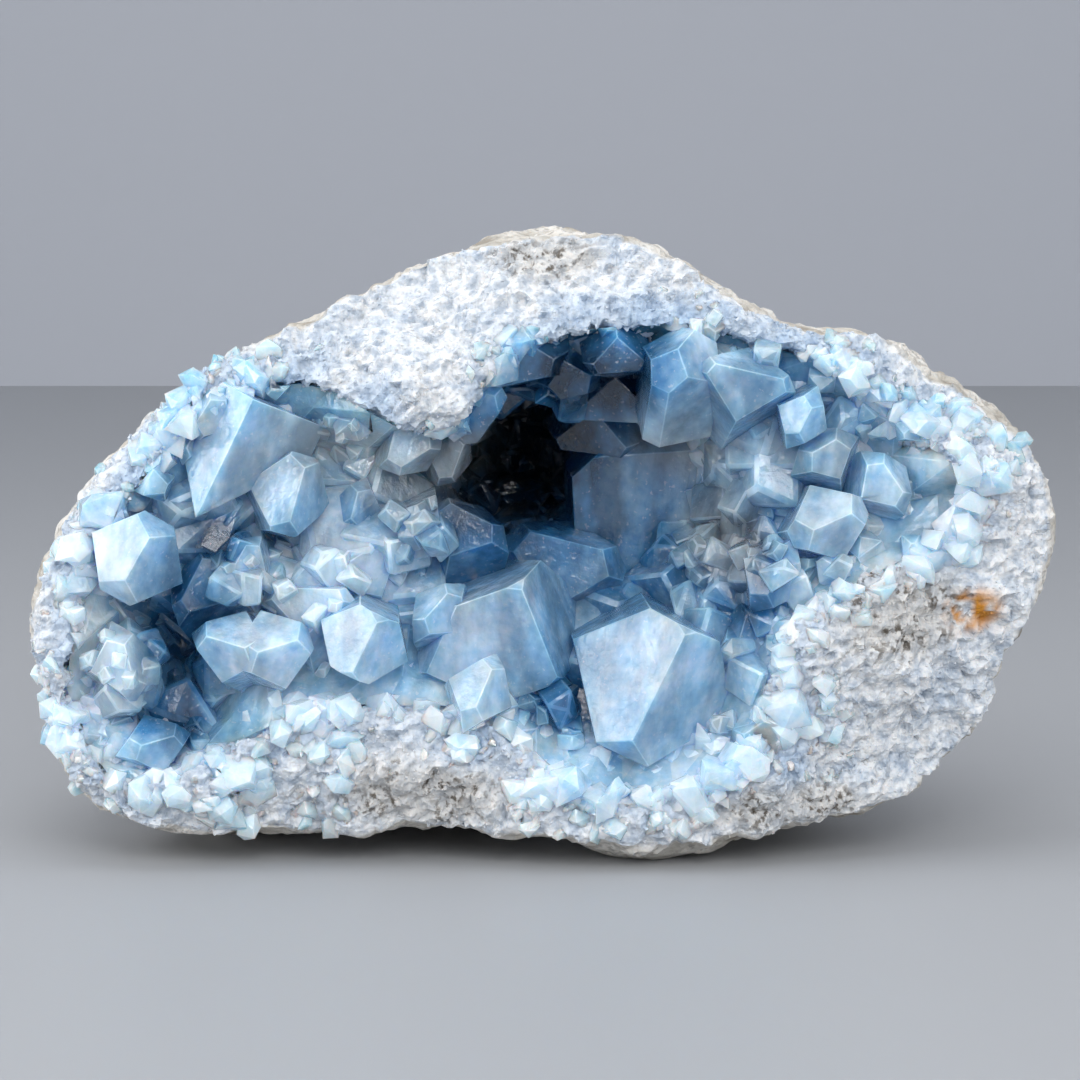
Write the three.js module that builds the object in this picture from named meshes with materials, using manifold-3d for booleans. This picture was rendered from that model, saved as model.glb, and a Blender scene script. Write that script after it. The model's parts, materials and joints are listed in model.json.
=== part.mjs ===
// Celestite geode: a broken nodule of pale rock, and the crust of blue celestite that lines its hollow.
// Millimetres, +Z up. The broken side faces -Y, and the nodule rests on small flat spots at z = 0.

import * as THREE from "three";
import { ConvexGeometry } from "three/addons/geometries/ConvexGeometry.js";
import { ImprovedNoise } from "three/addons/math/ImprovedNoise.js";
import { mergeVertices } from "three/addons/utils/BufferGeometryUtils.js";
import Module from "manifold-3d";

const { Matrix4, Vector3 } = THREE;
const { clamp, lerp, seededRandom, smoothstep } = THREE.MathUtils;

// ---------- Driving sizes of the nodule ----------

// The nodule's outline at its widest section, seen from the broken side: [x, z], clockwise from the left.
const OUTLINE = [
  [-150, 74], [-147, 90], [-138, 108], [-118, 122], [-100, 140], [-74, 155], [-56, 161], [-41, 173],
  [-18, 178], [2, 183.5], [28, 180.5], [47, 170], [64, 158], [84, 151.5], [102, 152.5], [114, 142],
  [128, 134.5], [143, 123], [150, 105], [146, 83], [137, 67], [133, 47], [121, 32], [104, 14],
  [84, 9], [58, 4], [32, -1], [10, 1], [-8, 6], [-28, 6], [-42, 10], [-58, 6],
  [-88, 3], [-112, 7], [-130, 12], [-143, 31], [-145, 52],
];
const MIDDLE = { x: 0, z: 88 }; // the outline is seen from here in one turn
const WIDEST_Y = -42; // the widest section
const FRONT_REACH = 66; // the whole nodule's front, before it was broken
const BACK_REACH = 124;
const BACK_DROP = 14; // the back's middle lies this much lower than the outline's
const FRONT_FULLNESS = 0.42; // below 1 the section stays wide for longer
const BACK_FULLNESS = 0.6;

const LUMP = { height: 4.2, reach: 46 }; // broad swellings of the rind
const KNOB = { height: 2.0, reach: 17 }; // small ones on top of them
const NODULE_DETAIL = 8; // subdivisions of the icosahedron it starts from

// Pits in the rind: direction from the middle [x, y, z], reach and depth.
const PITS = [
  { way: [-0.7, 0.6, 0.3], reach: 20, depth: 6 },
  { way: [0.2, 0.7, 0.7], reach: 24, depth: 5 },
  { way: [0.85, 0.35, -0.25], reach: 22, depth: 6 },
  { way: [0.35, 0.95, 0.1], reach: 17, depth: 5 },
  { way: [-0.25, 0.9, -0.2], reach: 21, depth: 6 },
  { way: [-0.45, 0.35, 0.85], reach: 18, depth: 5 },
  { way: [0.75, 0.1, 0.6], reach: 16, depth: 4 },
];

// The underside comes down to the ground at these spots: [x, y] and reach.
const FEET = [
  { x: 32, y: -46, reach: 34 },
  { x: -90, y: -10, reach: 40 },
  { x: 60, y: 30, reach: 42 },
  { x: -36, y: 31, reach: 42 },
];
const UNDERSIDE = 2.4; // height of the underside between the feet
const UNDERSIDE_SOFTNESS = 7;
const FOOT_SINK = 3; // how far a foot's middle is cut off flat
const FOOT_FADE = [14, 34]; // a foot pulls down nothing that lies higher than this

// ---------- Driving sizes of the hollow ----------

// The hollow's lip: [x, z], clockwise from the left.
const LIP = [
  [-134, 72], [-132, 92], [-119, 108], [-103, 126], [-82, 139], [-58, 138], [-40, 127], [-26, 126],
  [-14, 142], [4, 153], [24, 157], [46, 156], [68, 150], [90, 143], [108, 128], [125, 112],
  [118, 95], [94, 83], [76, 73], [66, 54], [60, 34], [44, 24], [18, 22], [-4, 33],
  [-18, 44], [-42, 46], [-66, 45], [-90, 34], [-116, 24], [-131, 33], [-138, 52],
];
const LIP_Y = -80; // the lip's level at the ground
const LEAN = 0.15; // the broken side leans back by this much for each millimetre up
const RIM_SLOPE = 0.42; // the broken rim falls away from the lip
const LIP_STEP = 6; // height of the sharp step at the lip
const DISH = { depth: 22, run: 12 }; // how far and how soon the wall falls away behind it

// Deeper places in the hollow, and swellings of the broken rim: the middle, the two reaches and the depth.
const POCKETS = [
  { x: 6, z: 104, across: 60, up: 54, depth: 50 },
  { x: -9, z: 112, across: 34, up: 34, depth: 52 },
  { x: -104, z: 56, across: 20, up: 36, depth: 24 },
  { x: -64, z: 106, across: 26, up: 20, depth: 14 },
];
const SWELLS = [
  { x: -36, z: 140, across: 32, up: 24, depth: 15 },
  { x: -42, z: 24, across: 40, up: 20, depth: 7 },
  { x: 20, z: 12, across: 44, up: 18, depth: 5 },
  { x: 96, z: 62, across: 34, up: 30, depth: 9 },
  { x: 128, z: 118, across: 22, up: 14, depth: 8 },
  { x: 118, z: 88, across: 16, up: 10, depth: -7 },
];
const RELIEF = { height: 4.4, reach: 17 }; // lumps of the broken face
const CELL = 13; // spacing of the broken face's points
const CELL_JITTER = 0.24; // share of a cell by which a point is off the grid
const CELLS = { across: 46, up: 30 };
const CUT_DEPTH = 400; // the blocks that make the broken face and the hollow reach right through
const CUT_LEVEL = 92; // height of their middle

const SEAM = 0.7; // the crust stands off the rock by this much
const LINING = 4; // thickness of the massive celestite under the crystals

// ---------- Driving sizes of the crystals ----------

// Celestite's cell lengths give the directions of its faces.
const CELL_A = 8.37, CELL_B = 5.35, CELL_C = 6.87;

// The large crystals. at: the middle of the tip. grow: the way the crystal points, its a axis. ridge: its
// c axis. crest, wedge: half lengths of the tip's edge along the c axis or across it. broad: half width
// across the c axis. thick: half width along it, and shift: how far that is off the middle. root: length.
// square: with sides square to b and c.
const LARGE_CRYSTALS = [
  // the two blocks in front, and the blade on the left
  {
    at: [34, -78, 54], grow: [0.05, -1, 0.01], ridge: [0.44, 0, 0.9],
    crest: 17, broad: 26, thick: 21, shift: -2, root: 46,
  },
  {
    at: [0, -66, 68], grow: [0.5, -0.86, 0.1], ridge: [-0.42, 0, 0.91],
    crest: 14, broad: 28, thick: 16, root: 48,
  },
  {
    at: [-96, -43, 108], grow: [-0.44, 0, -0.9], ridge: [0.9, 0, -0.44],
    crest: 6, wedge: 31, broad: 22, thick: 16, shift: 6, root: 31,
  },

  // the plate at the back of the hollow, and the one before it
  {
    at: [32, -12, 117], grow: [-0.05, -0.08, 0.99], ridge: [0.1, -0.99, -0.07],
    crest: 12, wedge: 17, broad: 24, thick: 12, root: 75, square: true,
  },
  {
    at: [8, -37.5, 91.5], grow: [0.1, -0.72, 0.62], ridge: [0.94, -0.05, -0.25],
    crest: 11, broad: 17, thick: 19, root: 42,
  },

  // right of the hollow's top
  {
    at: [42, -64, 153], grow: [0.1, -0.62, 0.76], ridge: [-0.5, -0.7, -0.5],
    crest: 5, broad: 13, thick: 13, root: 32,
  },
  {
    at: [60, -67, 144], grow: [0.15, -0.86, 0.45], ridge: [0.95, 0.1, -0.25],
    crest: 10, broad: 12, thick: 16, root: 32,
  },
  { at: [76, -69, 130], grow: [0.05, -1, -0.03], ridge: [0.44, 0, 0.9], crest: 4, broad: 8, root: 22 },
  { at: [99, -50, 148], grow: [0.4, -0.6, 0.7], ridge: [0.7, 0, -0.5], crest: 5, broad: 10, root: 20 },
  {
    at: [84, -70, 101], grow: [0.1, -0.98, 0.15], ridge: [0.9, 0, 0.4],
    crest: 6, broad: 12, thick: 12, root: 28,
  },
  { at: [102, -63, 113], grow: [0.3, -0.9, 0.3], ridge: [0.5, 0, -0.8], crest: 5, broad: 9, root: 22 },
  { at: [82, -62, 122], grow: [-0.1, -0.9, 0.4], ridge: [0.8, 0, 0.5], crest: 4, broad: 9, root: 24 },

  // right of the front block
  { at: [68, -70, 84], grow: [0.05, -1, -0.03], ridge: [0.5, 0, 0.86], crest: 5, broad: 10, root: 26 },
  {
    at: [58, -62, 66], grow: [-0.35, -0.88, 0.3], ridge: [0.2, 0, 1],
    crest: 8, broad: 12, thick: 14, root: 32,
  },
  { at: [62, -74, 42], grow: [-0.3, -0.9, 0.3], ridge: [0.8, 0, 0.5], crest: 4, broad: 9, root: 24 },

  // the left reach
  {
    at: [-115, -76, 91], grow: [0.1, -0.98, 0.1], ridge: [0.5, 0, 0.87],
    crest: 7, broad: 15, thick: 13, root: 30,
  },
  { at: [-101, -60, 83], grow: [-0.2, -0.85, 0.5], ridge: [0.3, 0, 0.95], crest: 7, broad: 10, root: 26 },
  { at: [-97, -62, 132], grow: [-0.3, -0.9, 0.2], ridge: [0.5, 0, 0.8], crest: 4, broad: 8, root: 20 },
  {
    at: [-70, -62, 108], grow: [0.3, -0.92, 0.1], ridge: [0.3, 0, 0.9],
    crest: 8, broad: 13, thick: 12, root: 30,
  },
  { at: [-118, -74, 61], grow: [0.3, -0.92, 0.2], ridge: [0.2, 0, -0.95], crest: 5, broad: 10, root: 24 },
  { at: [-110, -74, 38], grow: [0.25, -0.92, 0.3], ridge: [0.9, 0, 0.3], crest: 5, broad: 9, root: 24 },

  // the bank between the left reach and the blocks
  { at: [-90, -76, 67], grow: [-0.2, -0.95, 0.3], ridge: [0.9, 0, -0.3], crest: 6, broad: 11, root: 30 },
  {
    at: [-75, -77, 66], grow: [0.2, -0.95, 0.25], ridge: [0.9, 0, 0.3],
    crest: 6, broad: 12, thick: 11, root: 30,
  },
  {
    at: [-50, -80, 66], grow: [0.05, -1, -0.03], ridge: [0.44, 0, 0.9],
    crest: 8, broad: 14, thick: 10, root: 34,
  },
  { at: [-67, -65, 81], grow: [-0.1, -0.62, 0.78], ridge: [0.95, 0, -0.2], crest: 9, broad: 11, root: 32 },
  { at: [-88, -62, 88], grow: [-0.2, -0.9, 0.4], ridge: [0.4, 0, 0.9], crest: 6, broad: 9, root: 28 },
  {
    at: [-52, -58, 90], grow: [0.1, -0.9, 0.42], ridge: [0.8, 0, 0.6],
    crest: 8, broad: 12, thick: 12, root: 30,
  },
  { at: [-54, -54, 104], grow: [-0.1, -0.95, 0.3], ridge: [0.2, 0, 0.95], crest: 4, broad: 8, root: 24 },
  { at: [-35, -62, 98], grow: [0.05, -1, -0.03], ridge: [0.5, 0, 0.86], crest: 3, broad: 8, root: 28 },
  { at: [-20, -50, 101], grow: [0.15, -0.7, 0.7], ridge: [0.75, 0, -0.6], crest: 7, broad: 11, root: 38 },
  { at: [-30, -66, 76], grow: [-0.1, -0.9, 0.4], ridge: [0.6, 0, 0.8], crest: 5, broad: 9, root: 26 },
  { at: [-16, -78, 54], grow: [0.15, -0.93, 0.33], ridge: [0.4, 0, 0.9], crest: 6, broad: 10, root: 26 },
  { at: [4, -62, 46], grow: [0.2, -0.9, 0.4], ridge: [0.9, 0, 0.2], crest: 5, broad: 9, root: 26 },

  // under the ledge, left of the deep hole
  { at: [-36, -56, 118], grow: [0.2, -0.9, -0.3], ridge: [0.8, 0, 0.5], crest: 5, broad: 9, root: 26 },
  { at: [-24, -46, 116], grow: [0.4, -0.85, -0.2], ridge: [0.3, 0, 0.9], crest: 5, broad: 8, root: 28 },
  {
    at: [-15, -50, 126], grow: [0.45, -0.6, -0.65], ridge: [0.6, 0.75, 0],
    wedge: 6, broad: 12, thick: 4, root: 26,
  },

  // hanging from the roof
  { at: [-4, -54, 140], grow: [0.1, -0.7, -0.7], ridge: [0.9, 0, 0.25], crest: 7, broad: 11, root: 32 },
  { at: [10, -48, 135], grow: [0.15, -0.6, -0.78], ridge: [0.5, 0.3, 0.6], crest: 4, broad: 9, root: 32 },
  { at: [22, -40, 127], grow: [-0.1, -0.6, -0.8], ridge: [1, 0, 0.1], crest: 10, broad: 11, root: 36 },
  { at: [15, -24, 116], grow: [-0.2, -0.6, -0.78], ridge: [0.95, 0, 0.1], crest: 9, broad: 11, root: 38 },
  { at: [23, -58, 143], grow: [0.1, -0.8, -0.6], ridge: [1, 0, 0], crest: 6, broad: 8, root: 28 },
];

// Smaller crystals cover the rest of the lining, down to the given depth.
const SMALL_CRYSTALS = {
  seed: 41,
  tries: 188,
  least: 4.2, // half width
  most: 7.6,
  spacing: 0.95,
  tilt: 0.5,
  slimmest: 0.7, // thickness over width
  widest: 1.1,
  deepest: 0,
};

// ---------- Helpers ----------

const wasm = await Module();
wasm.setup();
const perlin = new ImprovedNoise();

// A closed mesh as a solid that can be joined and cut.
function solidOf(geometry) {
  const bare = geometry.index ? geometry.toNonIndexed() : geometry.clone();
  bare.deleteAttribute("normal");
  bare.deleteAttribute("uv");
  const merged = mergeVertices(bare, 1e-3);
  const { array: vertProperties } = merged.getAttribute("position");
  return new wasm.Manifold(
    new wasm.Mesh({ numProp: 3, vertProperties, triVerts: new Uint32Array(merged.index.array) }),
  );
}

function geometryOf(solid) {
  const { vertProperties, triVerts } = solid.getMesh();
  const geometry = new THREE.BufferGeometry();
  geometry.setAttribute("position", new THREE.BufferAttribute(vertProperties, 3));
  geometry.setIndex(new THREE.BufferAttribute(triVerts, 1));
  const flatShaded = geometry.toNonIndexed();
  flatShaded.computeVertexNormals();
  return flatShaded;
}

// Moves each vertex of a geometry to the point that shape(vertex) gives.
function reshape(geometry, shape) {
  const position = geometry.getAttribute("position");
  const vertex = new Vector3();
  for (let i = 0; i < position.count; i++) {
    shape(vertex.fromBufferAttribute(position, i));
    position.setXYZ(i, vertex.x, vertex.y, vertex.z);
  }
  return geometry;
}

function closedCurve(points) {
  const corners = points.map(([x, z]) => new Vector3(x, 0, z));
  return new THREE.CatmullRomCurve3(corners, true, "centripetal").getPoints(points.length * 2).slice(1);
}

// Height of smooth noise at a point, from -1 to 1, with lumps of the given reach.
const lumps = (x, y, z, reach) => perlin.noise(x / reach + 7.3, y / reach + 3.1, z / reach + 5.7);

// 1 in the middle of an oval, falling smoothly to 0 at its reach.
const mound = (share) => (share < 1 ? (1 - share * share) ** 2 : 0);
const bowl = (share) => (share < 1 ? (1 - share ** 3) ** 2 : 0);

// ---------- The nodule ----------

const outlineByAngle = closedCurve(OUTLINE)
  .map((p) => ({
    angle: Math.atan2(p.z - MIDDLE.z, p.x - MIDDLE.x),
    radius: Math.hypot(p.x - MIDDLE.x, p.z - MIDDLE.z),
  }))
  .sort((p, q) => p.angle - q.angle);

function outlineRadius(angle) {
  const next = outlineByAngle.findIndex((p) => p.angle > angle);
  const last = outlineByAngle.length - 1;
  const high = outlineByAngle[next < 0 ? 0 : next];
  const low = outlineByAngle[next > 0 ? next - 1 : last];
  const turn = 2 * Math.PI;
  const span = (high.angle - low.angle + turn) % turn;
  return lerp(low.radius, high.radius, ((angle - low.angle + turn) % turn) / span);
}

// Moves a point of the unit sphere onto the nodule's rind.
function toRind(p) {
  const way = p.clone();
  const side = Math.hypot(p.x, p.z);
  const angle = Math.atan2(p.z, p.x);
  const front = p.y < 0;
  const share = side ** (front ? FRONT_FULLNESS : BACK_FULLNESS);
  const radius = outlineRadius(angle) * share;
  p.x = MIDDLE.x + radius * Math.cos(angle);
  p.z = MIDDLE.z + radius * Math.sin(angle) - (front ? 0 : BACK_DROP * (1 - share));
  p.y = WIDEST_Y + p.y * (front ? FRONT_REACH : BACK_REACH);

  const behind = smoothstep(p.y, WIDEST_Y - 10, WIDEST_Y + 40);
  let swell = LUMP.height * lumps(p.x, p.y, p.z, LUMP.reach) * (0.4 + behind);
  swell += KNOB.height * lumps(p.x, p.y, p.z, KNOB.reach);
  for (const pit of PITS) {
    const off = way.distanceTo(new Vector3(...pit.way).normalize()) * BACK_REACH;
    swell -= pit.depth * mound(off / pit.reach);
  }
  p.addScaledVector(way, swell);
  settle(p, way);
}

// Flattens the underside, and brings the feet down to the ground.
function settle(p, way) {
  if (way.z > 0.2) return;
  const above = (p.z - UNDERSIDE) / UNDERSIDE_SOFTNESS;
  p.z = UNDERSIDE + UNDERSIDE_SOFTNESS * Math.log1p(Math.exp(above)) * 0.92;
  const low = 1 - smoothstep(p.z, ...FOOT_FADE);
  for (const foot of FEET) {
    const share = Math.hypot(p.x - foot.x, p.y - foot.y) / foot.reach;
    p.z = lerp(p.z, -FOOT_SINK, mound(share) * low);
  }
}

const wholeNodule = solidOf(reshape(new THREE.IcosahedronGeometry(1, NODULE_DETAIL), toRind));

// ---------- The broken face and the hollow's wall ----------

const lip = closedCurve(LIP);

// Distance from the lip: positive in the hollow, negative on the rim.
function insideLip(x, z) {
  let nearest = Infinity;
  let inside = false;
  lip.forEach((p, i) => {
    const q = lip[(i + 1) % lip.length];
    const [dx, dz] = [q.x - p.x, q.z - p.z];
    const along = clamp(((x - p.x) * dx + (z - p.z) * dz) / (dx * dx + dz * dz), 0, 1);
    nearest = Math.min(nearest, Math.hypot(x - p.x - along * dx, z - p.z - along * dz));
    if (p.z > z !== q.z > z && x < p.x + ((z - p.z) / dz) * dx) inside = !inside;
  });
  return inside ? nearest : -nearest;
}

const ovalShare = (x, z, oval) => Math.hypot((x - oval.x) / oval.across, (z - oval.z) / oval.up);

// Depth (Y) of the broken rim at a place seen from the front.
function rimY(x, z) {
  let y = LIP_Y + LEAN * z + RIM_SLOPE * Math.max(0, -insideLip(x, z));
  for (const swell of SWELLS) y -= swell.depth * mound(ovalShare(x, z, swell));
  return y + RELIEF.height * lumps(x, 0, z, RELIEF.reach);
}

// Depth of the hollow's wall, and of the lining on it.
function wallY(x, z) {
  let y = rimY(x, z) + LIP_STEP + DISH.depth * (1 - Math.exp(-Math.max(0, insideLip(x, z)) / DISH.run));
  for (const pocket of POCKETS) y += pocket.depth * bowl(ovalShare(x, z, pocket));
  return y;
}
const liningY = (x, z) => wallY(x, z) - SEAM - LINING - 1.6 * lumps(x, 60, z, 11);

// A block whose one side is a surface: y = surface(x, z) on a jittered grid. It fills all that lies before
// the surface, or all that lies behind it.
function blockUpTo(surface, before) {
  const [wide, tall] = [CELLS.across * CELL, CELLS.up * CELL];
  const block = new THREE.BoxGeometry(wide, CUT_DEPTH, tall, CELLS.across, 1, CELLS.up);
  block.translate(0, 0, CUT_LEVEL);
  const edge = wide / 2 - 1;
  return solidOf(
    reshape(block, (p) => {
      if (p.y > 0 !== before) return;
      if (Math.abs(p.x) < edge) {
        p.x += CELL * CELL_JITTER * 2 * lumps(p.x, 11, p.z, 3.7);
        p.z += CELL * CELL_JITTER * 2 * lumps(p.x, 37, p.z, 4.3);
      }
      p.y = surface(p.x, p.z);
    }),
  );
}

// All that lies inside the lip, or inside it by more than a margin, seen from the front.
function insideLipBlock(margin) {
  const outline = lip.map((p, i) => {
    const along = lip[(i + 1) % lip.length].clone().sub(lip.at(i - 1)).normalize();
    return new THREE.Vector2(p.x + margin * along.z, p.z - margin * along.x);
  });
  const options = { depth: CUT_DEPTH, bevelEnabled: false };
  const block = new THREE.ExtrudeGeometry(new THREE.Shape(outline), options);
  return solidOf(block.rotateX(Math.PI / 2).translate(0, CUT_DEPTH / 2, 0));
}

const beforeRim = blockUpTo(rimY, true);
const beforeWall = blockUpTo(wallY, true);
const hollow = beforeWall.intersect(insideLipBlock(0));
const ground = solidOf(new THREE.BoxGeometry(600, 600, 100).translate(0, 0, -50));
const matrixSolid = wholeNodule.subtract(beforeRim).subtract(hollow).subtract(ground);

// ---------- The crystals ----------

// A face's direction along [a, b, c] from its Miller indices.
const face = (h, k, l) => new Vector3(h / CELL_A, k / CELL_B, l / CELL_C).normalize();

// A crystal's bounding planes in its own frame: x along a, the way it grows, y along b, z along c.
// Its sides are slanted to b and c, or square to them.
function crystalPlanes({ crest = 0, wedge = 0, broad, thick = Infinity, shift = 0, root, square = false }) {
  const planes = [];
  const bound = (normal, through) => planes.push({ normal, reach: normal.dot(through) });
  for (const side of [1, -1]) {
    bound(face(2, side, 0), new Vector3(0, side * wedge, 0));
    bound(face(1, 0, side), new Vector3(0, 0, side * crest));
    const sideFaces = square ? [face(0, side, 0)] : [face(0, side, 1), face(0, side, -1)];
    for (const normal of sideFaces) bound(normal, new Vector3(0, side * broad, 0));
    bound(new Vector3(0, 0, side), new Vector3(0, 0, side * thick + shift));
  }
  bound(new Vector3(-1, 0, 0), new Vector3(-root, 0, 0));
  return planes.filter((plane) => plane.reach < Infinity);
}

// The points where three planes meet, as far as no other plane cuts them off.
function cornersOf(planes) {
  const corners = [];
  planes.forEach((p, i) =>
    planes.slice(i + 1).forEach((q, j) =>
      planes.slice(i + j + 2).forEach((r) => {
        const crossing = p.normal.dot(q.normal.clone().cross(r.normal));
        if (Math.abs(crossing) < 1e-6) return;
        const corner = new Vector3()
          .addScaledVector(q.normal.clone().cross(r.normal), p.reach)
          .addScaledVector(r.normal.clone().cross(p.normal), q.reach)
          .addScaledVector(p.normal.clone().cross(q.normal), r.reach)
          .divideScalar(crossing);
        if (planes.every(({ normal, reach }) => normal.dot(corner) < reach + 1e-5)) corners.push(corner);
      }),
    ),
  );
  return corners.filter((p, i) => corners.findIndex((q) => p.distanceTo(q) < 1e-3) === i);
}

function crystalSolid(crystal) {
  const grow = new Vector3(...crystal.grow).normalize();
  const ridge = new Vector3(...crystal.ridge);
  ridge.addScaledVector(grow, -ridge.dot(grow)).normalize();
  const place = new Matrix4().makeBasis(grow, ridge.clone().cross(grow), ridge);
  place.setPosition(...crystal.at);
  const corners = cornersOf(crystalPlanes(crystal)).map((p) => p.applyMatrix4(place));
  return solidOf(new ConvexGeometry(corners));
}

// The way out of the wall at a place, as a unit vector.
function wayOut(x, z) {
  const step = 3;
  const slopeX = (wallY(x + step, z) - wallY(x - step, z)) / (2 * step);
  const slopeZ = (wallY(x, z + step) - wallY(x, z - step)) / (2 * step);
  return new Vector3(slopeX, -1, slopeZ).normalize();
}

// Crystals strewn over the lining, no two closer than their sizes allow and none under a large one's head.
// Each is a square block with a hipped tip, whose four slopes end at one height.
function smallCrystals() {
  const { seed, tries, least, most, spacing, tilt, slimmest, widest, deepest } = SMALL_CRYSTALS;
  seededRandom(seed);
  const pick = (low, high) => lerp(low, high, seededRandom());
  const placed = [];
  for (let i = 0; i < tries; i++) {
    const spot = new Vector3(pick(-145, 132), 0, pick(18, 162));
    const size = lerp(least, most, seededRandom() ** 2);
    const turn = pick(0, Math.PI);
    const lean = new Vector3(pick(-tilt, tilt), -0.25, pick(-tilt, tilt));
    const slim = pick(slimmest, widest);
    const { x, z } = spot;
    const inside = insideLip(x, z);
    spot.y = wallY(x, z);
    if (inside < -1 || spot.y > deepest) continue;
    const girth = size * (0.7 + 0.3 * smoothstep(inside, 0, 25));
    const tooNear = (c) => c.spot.distanceTo(spot) < spacing * (c.broad + girth);
    const under = ({ at, broad }) => spot.distanceTo(new Vector3(...at)) < 0.62 * broad;
    if (placed.some(tooNear) || LARGE_CRYSTALS.some(under)) continue;
    const grow = wayOut(x, z).add(lean).normalize();
    const root = LINING + girth * 1.25;
    const thick = girth * slim;
    placed.push({
      spot,
      at: spot.clone().addScaledVector(grow, root).toArray(),
      grow: grow.toArray(),
      ridge: [Math.cos(turn), 0.2, Math.sin(turn)],
      crest: thick - (CELL_C * girth) / (2 * CELL_B),
      broad: girth,
      square: true,
      thick,
      root,
    });
  }
  return placed;
}

// ---------- The crust ----------

const towardsFront = [0, -SEAM, 0];
const mouth = insideLipBlock(SEAM);
const inHollow = beforeWall.translate(towardsFront).intersect(mouth);
const room = beforeRim.translate(towardsFront).add(inHollow);
const behindLining = blockUpTo(liningY, false).intersect(mouth);
const crystals = [...LARGE_CRYSTALS, ...smallCrystals()].map(crystalSolid);
const grown = wasm.Manifold.union([behindLining, ...crystals]).intersect(room);
const crustSolid = grown.decompose().sort((p, q) => q.volume() - p.volume())[0];

// ---------- The two pieces ----------

const rock = new THREE.MeshStandardMaterial({ color: 0xd9dcdf, roughness: 0.92, metalness: 0 });
const celestite = new THREE.MeshStandardMaterial({ color: 0x8fb6d6, roughness: 0.18, metalness: 0 });

const matrix = new THREE.Mesh(geometryOf(matrixSolid), rock);
matrix.name = "matrix_rock";
const crust = new THREE.Mesh(geometryOf(crustSolid), celestite);
crust.name = "crystal_crust";

// The origin is on the ground, under the middle of the geode's box.
const geode = new THREE.Group();
geode.add(matrix, crust);
const middle = new THREE.Box3().setFromObject(geode).getCenter(new Vector3());
geode.position.set(-middle.x, -middle.y, 0);

export default geode;
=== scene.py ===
# %% [markdown]
# # A celestite geode, dressed in Blender
# The real thing is a nodule of pale, sugary rock that grew in limestone and was broken open. Sky-blue
# crystals of celestite line its hollow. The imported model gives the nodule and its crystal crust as
# faceted solids. This script gives each its real surface, and grows the crystals and grains that are too
# small and too many for a solid model.

import json
import math

import bmesh
import bpy
import numpy as np
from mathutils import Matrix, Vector, kdtree, noise
from mathutils.bvhtree import BVHTree

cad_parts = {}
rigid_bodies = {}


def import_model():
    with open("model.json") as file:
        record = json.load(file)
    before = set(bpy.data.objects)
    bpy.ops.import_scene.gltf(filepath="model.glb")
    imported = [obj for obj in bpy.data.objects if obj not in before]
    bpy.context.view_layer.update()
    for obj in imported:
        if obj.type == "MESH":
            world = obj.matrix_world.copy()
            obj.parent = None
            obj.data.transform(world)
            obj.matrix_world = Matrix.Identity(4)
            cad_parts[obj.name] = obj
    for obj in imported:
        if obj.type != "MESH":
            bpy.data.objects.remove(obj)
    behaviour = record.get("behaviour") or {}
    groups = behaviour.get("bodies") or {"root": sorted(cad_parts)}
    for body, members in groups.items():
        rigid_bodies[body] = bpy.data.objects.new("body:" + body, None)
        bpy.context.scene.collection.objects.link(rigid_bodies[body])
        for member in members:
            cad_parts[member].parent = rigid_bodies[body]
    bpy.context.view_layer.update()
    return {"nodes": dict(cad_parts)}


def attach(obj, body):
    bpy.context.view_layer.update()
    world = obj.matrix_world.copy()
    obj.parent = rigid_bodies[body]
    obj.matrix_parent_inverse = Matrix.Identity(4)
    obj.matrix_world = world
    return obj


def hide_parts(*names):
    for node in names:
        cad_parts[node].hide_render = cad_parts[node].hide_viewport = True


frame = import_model()
MM = 0.001  # the frame is in metres, and the sizes below are in millimetres
print("nodes:", sorted(frame["nodes"]))

# %% [markdown]
# ## The camera
# A long lens from a metre away, a little above the table, sees a stone without bending its outline. A
# wide lens close by would swell the crystals in front.

# %% Camera
AIM = Vector((0, -42, 92.1)) * MM
DISTANCE = 1050 * MM
RISE = math.radians(7)
PICTURE_WIDTH = 318.9 * MM  # width of the view at the aim
SENSOR = 36  # of the camera, so this one stays in its own millimetres

lens = bpy.data.cameras.new("camera")
lens.sensor_width = SENSOR
lens.lens = SENSOR * DISTANCE / PICTURE_WIDTH
camera = bpy.data.objects.new("camera", lens)
back = Vector((0, -math.cos(RISE), math.sin(RISE)))
camera.location = AIM + back * DISTANCE
camera.rotation_euler = back.to_track_quat("Z", "Y").to_euler()
bpy.context.scene.collection.objects.link(camera)
bpy.context.scene.camera = camera
print(f"lens {lens.lens:.1f} mm")

# %% [markdown]
# ## Small tools
# A mesh is easier to shape as one array of points than vertex by vertex, so four short functions carry
# points, normals and named values between a mesh and numpy.

# %% Meshes and arrays
scene_objects = bpy.context.scene.collection.objects


def add_object(name, mesh):
    obj = bpy.data.objects.new(name, mesh)
    scene_objects.link(obj)
    return obj


def read(mesh, what="co"):
    """The points, or the normals, of a mesh, one row for each vertex."""
    source = mesh.vertices if what == "co" else mesh.vertex_normals
    values = np.empty(len(source) * 3, np.float32)
    source.foreach_get("co" if what == "co" else "vector", values)
    return values.reshape(-1, 3).astype(float)


def store(mesh, name, values, domain="POINT"):
    """Keeps one number for each vertex or face under a name that materials and node trees can read."""
    attribute = mesh.attributes.new(name, "FLOAT", domain)
    attribute.data.foreach_set("value", np.asarray(values, np.float32))


def move(mesh, points):
    mesh.vertices.foreach_set("co", np.asarray(points, np.float32).ravel())
    mesh.update()


def plain_mesh(obj):
    """Turns what the object's modifiers make into its own plain mesh."""
    graph = bpy.context.evaluated_depsgraph_get()
    mesh = bpy.data.meshes.new_from_object(obj.evaluated_get(graph))
    obj.modifiers.clear()
    obj.data = mesh
    return mesh


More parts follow.
